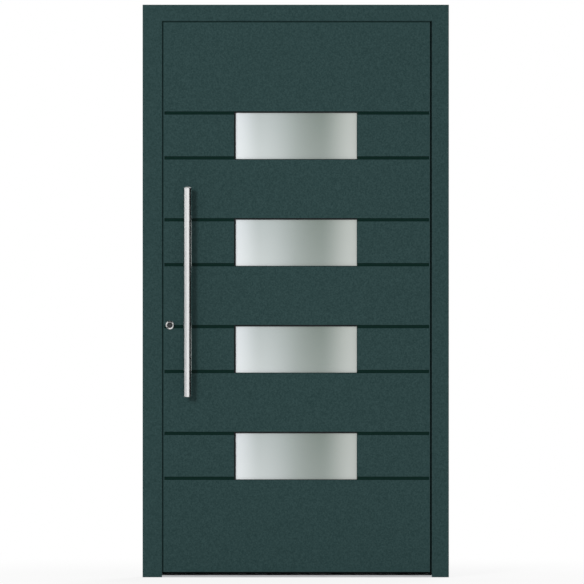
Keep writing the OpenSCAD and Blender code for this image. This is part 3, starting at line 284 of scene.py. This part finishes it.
def moulded(name, dark, light, roughness, scale=700.0, specular=0.4):
    """Rubber, plastic or foam: a fine grain and a slow change of tone."""
    m = Mat(name, Specular_IOR_Level=specular)
    grain = m.noise(scale, detail=3.0, roughness=0.6)
    cloud = m.noise(scale=9.0)
    tone = m.math("MULTIPLY", m.vary(grain, 0.5, 1.0), m.vary(cloud, 0.6, 1.0))
    m.set(Base_Color=m.mix(tone, dark, light), Roughness=m.vary(grain, roughness - 0.06, roughness + 0.06))
    m.bump(grain, distance=0.0002, strength=0.4)
    return m.mat


# The sweep of light over a satin pane, from its left edge at 0 to its right edge at 1
SATIN_SWEEP = (
    (0.03, srgb(214, 220, 223)),
    (0.24, srgb(171, 180, 179)),
    (0.69, srgb(117, 129, 122)),
    (0.94, srgb(175, 181, 176)),
)
# Painted light, which makes the pane brighter towards its foot, most on its left
SATIN_FOOT_LIGHT = srgb(240, 244, 244)


def satin(name):
    """Etched glass: pale with a soft sweep of light across the pane, brighter at its foot with painted light, and a
    very fine etch.
    """
    m = Mat(name, IOR=1.5, Specular_IOR_Level=0.35, Coat_Weight=0.12, Coat_Roughness=0.25)
    across = m.axis("Generated", "X")
    sweep = m.ramp(across, SATIN_SWEEP)
    foot_light = m.spread(m.axis("Generated", "Z"), 0.0, 1.0, 0.5, 0.0)
    with_foot_light = m.mix(foot_light, sweep, SATIN_FOOT_LIGHT)
    lit = m.mix(m.spread(across, 0.0, 0.5, 1.0, 0.25), sweep, with_foot_light)
    etch = m.noise(scale=1400.0, detail=3.0, roughness=0.6)
    m.set(Base_Color=m.mix(m.vary(etch, 0.0, 0.05), lit, WHITE), Roughness=m.vary(etch, 0.42, 0.52))
    m.bump(etch, distance=0.00003, strength=0.3)
    return m.mat


def clear(name):
    """Clear glass with a faint cloud in its tint."""
    m = Mat(name, Transmission_Weight=0.9, IOR=1.5)
    cloud = m.noise(scale=6.0)
    m.set(Base_Color=m.mix(m.vary(cloud), srgb(214, 230, 226), srgb(226, 238, 235)),
          Roughness=m.vary(cloud, 0.02, 0.05))
    return m.mat


def ribbed_aluminium(name):
    """Natural anodised aluminium with the fine lines that an extrusion has along its length."""
    m = Mat(name, Metallic=1.0)
    lines = m.noise(scale=900.0, detail=3.0, roughness=0.6, stretch=(EXTRUDED_STRETCH, 1.0, 1.0))
    cloud = m.noise(scale=12.0, detail=3.0)
    m.set(Base_Color=m.mix(m.vary(lines), srgb(176, 179, 181), srgb(206, 208, 209)),
          Roughness=m.vary(cloud, 0.32, 0.44))
    m.bump(lines, distance=0.00006, strength=0.4)
    return m.mat


BAR_STEEL = srgb(240, 241, 241)
STEEL = srgb(206, 208, 209)
COLLAR_NICKEL = srgb(232, 233, 233)
COLLAR_SHADE_RADIUS = 0.0106
FINISH = {
    "paint": powder_coat("powder_coat"),
    "paint_shaded_grooves": powder_coat("powder_coat_shaded_grooves", shade_grooves=True),
    "paint_shaded_gap": powder_coat("powder_coat_shaded_gap", gap_shade_share=GAP_SHADE_SHARE),
    "mill_aluminium": ribbed_aluminium("anodised_aluminium"),
    "polyamide": moulded("black_polyamide", srgb(24, 25, 27), srgb(38, 39, 41), roughness=0.55),
    "black_rubber": moulded("black_rubber", srgb(9, 11, 12), srgb(18, 20, 21), roughness=0.62, scale=500.0,
                            specular=0.25),
    "black_spacer": moulded("black_spacer", srgb(14, 15, 16), srgb(24, 25, 26), roughness=0.5),
    "foam": moulded("rigid_foam", srgb(206, 188, 130), srgb(226, 211, 158), roughness=0.85, scale=260.0,
                    specular=0.15),
    "satin_glass": satin("satin_glass"),
    "clear_glass": clear("clear_glass"),
    "brushed_steel": brushed("brushed_steel_upright", BAR_STEEL, roughness=0.2, along="Z", anisotropy=0.35),
    "steel_level": brushed("brushed_steel_level", STEEL, roughness=0.2, along="X", anisotropy=0.35),
    "steel_post": brushed("brushed_steel_post", STEEL, roughness=0.2, along="Y", anisotropy=0.35),
    "steel_flat": brushed("brushed_steel_flat", STEEL, roughness=0.3, along="Z"),
    "steel_cap": brushed("brushed_steel_cap", BAR_STEEL, roughness=0.8, along="Z"),
    "smoked_nickel": plated("smoked_nickel", srgb(46, 47, 48), roughness=0.12),
    "dull_nickel": plated("dull_nickel", srgb(66, 68, 69), roughness=0.16),
    "collar": polished_ring("polished_collar", COLLAR_NICKEL, middle("cylinder_collar"), COLLAR_SHADE_RADIUS),
    "hinge_steel": plated("satin_anodised", srgb(196, 198, 200), roughness=0.3),
    "zinc_steel": plated("zinc_plate", srgb(186, 190, 192), roughness=0.32, wear=0.12),
    "screw_steel": plated("screw_steel", srgb(176, 178, 180), roughness=0.28, wear=0.1),
}
# A node takes the finish of its material slot, unless it has its own here
OWN_FINISH = {
    "outer_cover_sheet": "paint_shaded_grooves",
    "lever_handle": "steel_level",
    "pull_post_upper": "steel_post",
    "pull_post_lower": "steel_post",
    "pull_cap_top": "steel_cap",
    "cylinder_collar": "collar",
    "cylinder_plug": "dull_nickel",
    "cylinder_body": "smoked_nickel",
    "inner_escutcheon": "steel_flat",
    "lock_faceplate": "steel_flat",
    "strike_main": "steel_flat",
    "bolt_strikes": "steel_flat",
}
# Width of the rounding on a node's sharp edges
EDGE = {
    "outer_cover_sheet": 0.0007, "frame_jamb_lock": 0.0006, "frame_jamb_hinge": 0.0006, "frame_head": 0.0006,
    "leaf_stile_lock": 0.0006, "leaf_stile_hinge": 0.0006, "leaf_rail_top": 0.0006, "leaf_rail_bottom": 0.0006,
    "panel_beads": 0.0004, "inner_sheet": 0.0002, "glass_trim_frames": 0.0004, "threshold": 0.0004,
    "inner_escutcheon": 0.0009, "lock_faceplate": 0.0003, "strike_main": 0.0003, "bolt_strikes": 0.0003,
    "hinge_frame_top": 0.0007, "hinge_frame_middle": 0.0007, "hinge_frame_bottom": 0.0007,
    "hinge_leaf_top": 0.0007, "hinge_leaf_middle": 0.0007, "hinge_leaf_bottom": 0.0007, "hinge_pins": 0.0005,
    "latch_keeper": 0.0003, "latch_bolt": 0.0003, "dead_bolt": 0.0004, "upper_bolt": 0.0004, "lower_bolt": 0.0004,
    "leaf_bottom_seal": 0.0003, "frame_gasket": 0.0003,
}
EDGE_SEGMENTS = 2
EDGE_ANGLE = math.radians(40)
for part in frame["record"]["subparts"]:
    name = part["node"]
    obj = NODES[name]
    obj.data.materials.clear()
    obj.data.materials.append(FINISH[OWN_FINISH.get(name, part["material_slot"])])
    if name in EDGE:
        bevel = obj.modifiers.new("edge", "BEVEL")
        bevel.width = EDGE[name]
        bevel.segments = EDGE_SEGMENTS
        bevel.limit_method = "ANGLE"
        bevel.angle_limit = EDGE_ANGLE


# Helpers for the small pieces

def add_object(name, data):
    obj = bpy.data.objects.new(name, data)
    bpy.context.scene.collection.objects.link(obj)
    return obj


def add_piece(name, bm, finish, body):
    """A piece made of a bmesh, which rides on a body."""
    bmesh.ops.recalc_face_normals(bm, faces=bm.faces)
    mesh = bpy.data.meshes.new(name)
    bm.to_mesh(mesh)
    bm.free()
    mesh.materials.append(FINISH[finish])
    piece = add_object(name, mesh)
    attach(piece, body)
    return piece


def bridge(bm, rings):
    """Faces between each ring of points and the next one."""
    for here, after in zip(rings, rings[1:]):
        for k in range(len(here)):
            bm.faces.new((here[k - 1], here[k], after[k], after[k - 1]))


def close_ends(bm, rings):
    bm.faces.new(rings[0])
    bm.faces.new(rings[-1])


def round_angles(steps):
    return [2 * math.pi * i / steps for i in range(steps)]


def rounded(corners, steps=5):
    """Points of a closed outline from corners of (x, y, rounding)."""
    points = []
    for i, (x, y, rounding) in enumerate(corners):
        here = Vector((x, y))
        ends = []
        for other in (corners[i - 1], corners[(i + 1) % len(corners)]):
            ends.append(here + (Vector(other[:2]) - here).normalized() * rounding)
        for k in range(steps + 1 if rounding else 1):
            t = k / steps
            points.append(ends[0] * (1 - t) ** 2 + here * (2 * t * (1 - t)) + ends[1] * t ** 2)
    return points


def facing(direction, at):
    """A matrix that turns local Z to a direction and puts the origin at a point."""
    turn = Vector((0, 0, 1)).rotation_difference(Vector(direction)).to_matrix().to_4x4()
    return Matrix.Translation(Vector(at)) @ turn


SCREW_STEPS = 24
HEAD_RISE = 0.0003
SOCKET_CHAMFER = 0.0002
# Half the width of a usual socket, as a share of the head's radius
SOCKET_SHARE = 0.45


def add_screw(bm, matrix, r, rise, socket):
    """A countersunk screw with a hexagon socket: its head's rim lies flush, its crown stands a little proud."""
    outline = (
        # radius, height, hexagon
        (0.45 * r, -r, False),
        (r, -0.12 * r, False),
        (r, 0.0, False),
        (0.86 * r, rise, False),
        (1.12 * socket, rise, True),
        (socket, rise - SOCKET_CHAMFER, True),
        (socket, rise - 1.2 * socket, True),
    )
    rings = []
    for radius, height, hexagon in outline:
        ring = []
        for a in round_angles(SCREW_STEPS):
            k = radius
            if hexagon:
                k = radius * math.cos(math.pi / 6) / math.cos((a % (math.pi / 3)) - math.pi / 6)
            ring.append(bm.verts.new(matrix @ Vector((k * math.cos(a), k * math.sin(a), height))))
        rings.append(ring)
    bridge(bm, rings)
    close_ends(bm, rings)


def screws(name, body, places, direction, r, rise=HEAD_RISE, socket=None):
    """Like screws at several places, as one piece."""
    bm = bmesh.new()
    for at in places:
        add_screw(bm, facing(direction, at), r, rise, socket or SOCKET_SHARE * r)
    add_piece(name, bm, "screw_steel", body)


# Collar of the lock: a polished cone round a throat of black painted shade, on the cover sheet
COLLAR_TURNS = 96
COLLAR_SHARP = math.radians(35)
COLLAR_OUTLINE = (
    # radius, rise from the sheet, rounding
    (0.00925, 0.0, 0),
    (0.016, 0.0, 0),
    (0.016, 0.0058, 0.0009),
    (0.011, 0.00795, 0.0009),
    (0.00925, 0.0062, 0.0008),
)
collar_at = middle("cylinder_collar")
sheet_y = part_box("cylinder_collar")[1].y
outline = rounded(COLLAR_OUTLINE)
bm = bmesh.new()
rings = []
for a in round_angles(COLLAR_TURNS):
    rings.append([bm.verts.new((collar_at.x + r * math.cos(a), sheet_y - rise, collar_at.z + r * math.sin(a)))
                  for r, rise in outline])
bridge(bm, rings + rings[:1])
for face in bm.faces:
    face.smooth = True
collar = add_piece("lock_collar", bm, "collar", "leaf")
collar.data.set_sharp_from_angle(angle=COLLAR_SHARP)
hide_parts("cylinder_collar")

# Strip of paint in the shadow gap, along the cover sheet's lock side and upper edges, with painted shade in its
# colour
STRIP_WIDTH = 0.0043
STRIP_DEPTH = 0.008
STRIP_THICKNESS = 0.002
cover_low, cover_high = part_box("outer_cover_sheet")
front_y = cover_low.y + STRIP_DEPTH
back_y = front_y + STRIP_THICKNESS
out_x = cover_low.x - STRIP_WIDTH
out_z = cover_high.z + STRIP_WIDTH
stations = (((cover_low.x, cover_low.z), (out_x, cover_low.z)),
            ((cover_low.x, cover_high.z), (out_x, out_z)),
            ((cover_high.x, cover_high.z), (cover_high.x, out_z)))
bm = bmesh.new()
rings = []
for near, far in stations:
    section = ((near, front_y), (far, front_y), (far, back_y), (near, back_y))
    rings.append([bm.verts.new((x, y, z)) for (x, z), y in section])
bridge(bm, rings)
close_ends(bm, rings)
add_piece("cover_edge_strip", bm, "paint_shaded_gap", "leaf")


# Screws

TO_INSIDE = (0, 1, 0)
TO_LOCK_SIDE = (-1, 0, 0)
TO_HINGE_SIDE = (1, 0, 0)
DOWN = (0, 0, -1)

# Screws of the hinge wings, clear of the barrels
BARREL_HALF = 0.010
WING_THICKNESS = 0.006
HINGE_SCREW_RADIUS = 0.0055
# Places of the screws, as shares of a wing's height
HINGE_SCREW_SHARES = (0.15, 0.5, 0.85)
wing_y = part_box("leaf_stile_hinge")[1].y + WING_THICKNESS
pin_x = middle("hinge_pins").x
for place in ("top", "middle", "bottom"):
    for body in ("frame", "leaf"):
        low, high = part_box(f"hinge_{body}_{place}")
        wing = (pin_x + BARREL_HALF, high.x) if body == "frame" else (low.x, pin_x - BARREL_HALF)
        x = (wing[0] + wing[1]) / 2
        screws(f"hinge_screws_{body}_{place}", body,
               [(x, wing_y, low.z + share * (high.z - low.z)) for share in HINGE_SCREW_SHARES],
               TO_INSIDE, HINGE_SCREW_RADIUS)

# Screws of the faceplate, between the bolts
FACEPLATE_SCREW_RADIUS = 0.0038
PLATE_END_TO_SCREW = 0.012
LOWER_END_TO_SECOND = 0.125
UPPER_END_TO_SECOND = 0.033
OUTER_BOLT_TO_SCREW = 0.065
DEAD_BOLT_TO_SCREW = 0.04
LATCH_TO_SCREW = 0.032
low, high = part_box("lock_faceplate")
lock_y = (low.y + high.y) / 2
heights = (
    low.z + PLATE_END_TO_SCREW,
    low.z + LOWER_END_TO_SECOND,
    middle("lower_bolt").z + OUTER_BOLT_TO_SCREW,
    middle("cylinder_plug").z,
    middle("dead_bolt").z + DEAD_BOLT_TO_SCREW,
    middle("latch_bolt").z + LATCH_TO_SCREW,
    middle("upper_bolt").z - OUTER_BOLT_TO_SCREW,
    high.z - UPPER_END_TO_SECOND,
    high.z - PLATE_END_TO_SCREW,
)
screws("faceplate_screws", "leaf", [(low.x, lock_y, z) for z in heights],
       TO_LOCK_SIDE, FACEPLATE_SCREW_RADIUS)

# Screws of the strikes
STRIKE_SCREW_RADIUS = 0.0042
STRIKE_END_TO_SECOND = 0.030
BOLT_TO_STRIKE_SCREW = 0.022
low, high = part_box("strike_main")
strike_x = high.x
heights = (low.z + PLATE_END_TO_SCREW, low.z + STRIKE_END_TO_SECOND,
           high.z - STRIKE_END_TO_SECOND, high.z - PLATE_END_TO_SCREW)
screws("main_strike_screws", "frame", [(strike_x, lock_y, z) for z in heights],
       TO_HINGE_SIDE, STRIKE_SCREW_RADIUS)
heights = []
for bolt in ("upper_bolt", "lower_bolt"):
    low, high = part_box(bolt)
    heights += [low.z - BOLT_TO_STRIKE_SCREW, high.z + BOLT_TO_STRIKE_SCREW]
screws("bolt_strike_screws", "frame", [(strike_x, lock_y, z) for z in heights],
       TO_HINGE_SIDE, STRIKE_SCREW_RADIUS)

# Grub screws under the lever's neck and under the posts of the pull bar, a little sunk
GRUB_RISE = -0.0002
LEVER_GRUB_RADIUS = 0.0024
LEVER_GRUB_SOCKET = 0.0013
PLATE_TO_LEVER_GRUB = 0.011
LEVER_RADIUS = 0.0095
POST_GRUB_RADIUS = 0.0026
POST_GRUB_SOCKET = 0.0014
POST_FOOT_TO_GRUB = 0.012
plate_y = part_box("inner_escutcheon")[1].y
lever = middle("lever_spindle")
screws("lever_grub_screw", "lever",
       [(lever.x, plate_y + PLATE_TO_LEVER_GRUB, lever.z - LEVER_RADIUS)],
       DOWN, LEVER_GRUB_RADIUS, GRUB_RISE, LEVER_GRUB_SOCKET)
for post in ("upper", "lower"):
    low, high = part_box(f"pull_post_{post}")
    screws(f"post_grub_screw_{post}", "leaf",
           [((low.x + high.x) / 2, high.y - POST_FOOT_TO_GRUB, low.z)],
           DOWN, POST_GRUB_RADIUS, GRUB_RISE, POST_GRUB_SOCKET)


# Floor, light and camera

def flat_mesh(name, corners, material):
    """A mesh of one face with four corners."""
    mesh = bpy.data.meshes.new(name)
    mesh.from_pydata(corners, [], [(0, 1, 2, 3)])
    mesh.materials.append(material)
    return mesh


def level(x0, y0, x1, y1, z):
    """Corners of a level rectangle."""
    return [(x0, y0, z), (x1, y0, z), (x1, y1, z), (x0, y1, z)]


def upright(x0, y0, x1, y1, height):
    """Corners of a rectangle that stands on the floor."""
    return [(x0, y0, 0.0), (x1, y1, 0.0), (x1, y1, height), (x0, y0, height)]


FLOOR_HALF = 9.0
FLOOR_GREY = 0.9
# Share of plain white in what is seen of the floor: from the door's foot, it rises between two distances
FLOOR_WHITE = (0.82, 1.0)
FLOOR_FADE = (0.7, 2.6)


def plain_floor():
    """A pale floor that fades into the white background and keeps the object's shadow."""
    mat = bpy.data.materials.new("pale_floor")
    mat.use_nodes = True
    mat.node_tree.nodes.clear()
    t = Tree(mat.node_tree)
    diffuse = t.node("ShaderNodeBsdfDiffuse")
    t.feed_all(diffuse, Color=grey(FLOOR_GREY))
    glow = t.node("ShaderNodeEmission")
    t.feed_all(glow, Color=WHITE, Strength=1.0)
    length = t.node("ShaderNodeVectorMath", operation="LENGTH")
    t.feed(length.inputs[0], t.coords("Object"))
    fade = t.spread(length.outputs["Value"], *FLOOR_FADE, *FLOOR_WHITE, smooth=True)
    mix = t.node("ShaderNodeMixShader")
    for i, value in enumerate((t.math("MULTIPLY", t.seen(), fade), diffuse.outputs[0], glow.outputs[0])):
        t.feed(mix.inputs[i], value)
    t.feed_all(t.node("ShaderNodeOutputMaterial"), Surface=mix.outputs[0])
    corners = level(-FLOOR_HALF, -FLOOR_HALF, FLOOR_HALF, FLOOR_HALF, 0.0)
    floor = add_object("floor", flat_mesh("floor", corners, mat))


def white_world(ambient):
    """White to the camera, to reflections and through glass; a soft even light for everything else."""
    world = bpy.data.worlds.new("studio")
    bpy.context.scene.world = world
    world.use_nodes = True
    t = Tree(world.node_tree)
    strength = t.spread(t.seen(), 0.0, 1.0, ambient, 1.0)
    t.feed_all(t.tree.nodes["Background"], Color=WHITE, Strength=strength)


# Heights between which a card's foot turns into the rest of it
CARD_TURN = (1.0, 1.45)


def card(name, corners, shade, painted_foot_shade=None):
    """A studio card near the door, seen only in reflections. Its lower part may be darker, a painted shade that
    stands in for less light at its foot.
    """
    m = Mat(name, Base_Color=grey(shade), Roughness=0.9, Specular_IOR_Level=0.0)
    if painted_foot_shade is not None:
        # Painted shade: the card darker towards its foot
        m.set(Base_Color=m.spread(m.axis("Object", "Z"), *CARD_TURN, painted_foot_shade, shade, smooth=True))
    board = add_object(name, flat_mesh(name, corners, m.mat))
    board.visible_camera = False
    board.visible_diffuse = False
    board.visible_shadow = False
    board.visible_transmission = False


def lamp(name, at, size, power):
    """A round lamp that points at the door's middle and isn't seen in reflections."""
    light = bpy.data.lights.new(name, "AREA")
    light.shape = "DISK"
    light.size = size
    light.energy = power
    obj = add_object(name, light)
    obj.location = at
    obj.rotation_euler = (Vector(DOOR_MIDDLE) - Vector(at)).to_track_quat("-Z", "Y").to_euler()
    obj.visible_glossy = False


DOOR_MIDDLE = (0.0, 0.0, 1.07)
CARD_HEIGHT = 3.2
CARD_ABOVE = 3.4
CARD_LOW = 0.01
plain_floor()
white_world(ambient=0.5)
card("card_right", upright(1.35, -2.4, 2.6, 0.1, CARD_HEIGHT), shade=0.015)
# The left card gets painted shade, darker towards its foot
card("card_left", upright(-1.9, -2.4, -3.2, 0.3, CARD_HEIGHT), shade=1.0, painted_foot_shade=0.75)
card("card_low", level(-0.85, -0.6, -2.3, -2.4, CARD_LOW), shade=0.02)
card("card_above", level(-2.5, -4.0, 2.5, -1.2, CARD_ABOVE), shade=0.02)
card("card_inside", upright(-1.5, 2.4, -2.7, 0.3, CARD_HEIGHT), shade=0.03)
card("card_inside_above", level(-2.5, 0.4, 2.5, 4.0, CARD_ABOVE), shade=0.05)
lamp("key", at=(-4.14, -12.0, 4.01), size=2.8, power=900.0)
lamp("back_fill", at=(1.6, 6.0, 2.6), size=2.0, power=240.0)

# A long lens, with the width of the view set at the door's front
FRONT_Y = -0.04
VIEW_ACROSS = 2.1929
VIEW_DISTANCE = 30.0
VIEW_X = -0.014
VIEW_Z = 1.0712
SENSOR_WIDTH = 36.0
CLIP_END = 200.0
camera_data = bpy.data.cameras.new("camera")
camera_data.sensor_width = SENSOR_WIDTH
camera_data.lens = SENSOR_WIDTH * VIEW_DISTANCE / VIEW_ACROSS
camera_data.clip_end = CLIP_END
camera = add_object("camera", camera_data)
camera.location = (VIEW_X, FRONT_Y - VIEW_DISTANCE, VIEW_Z)
camera.rotation_euler = (math.radians(90), 0, 0)
bpy.context.scene.camera = camera
bpy.context.scene.view_settings.view_transform = "Standard"
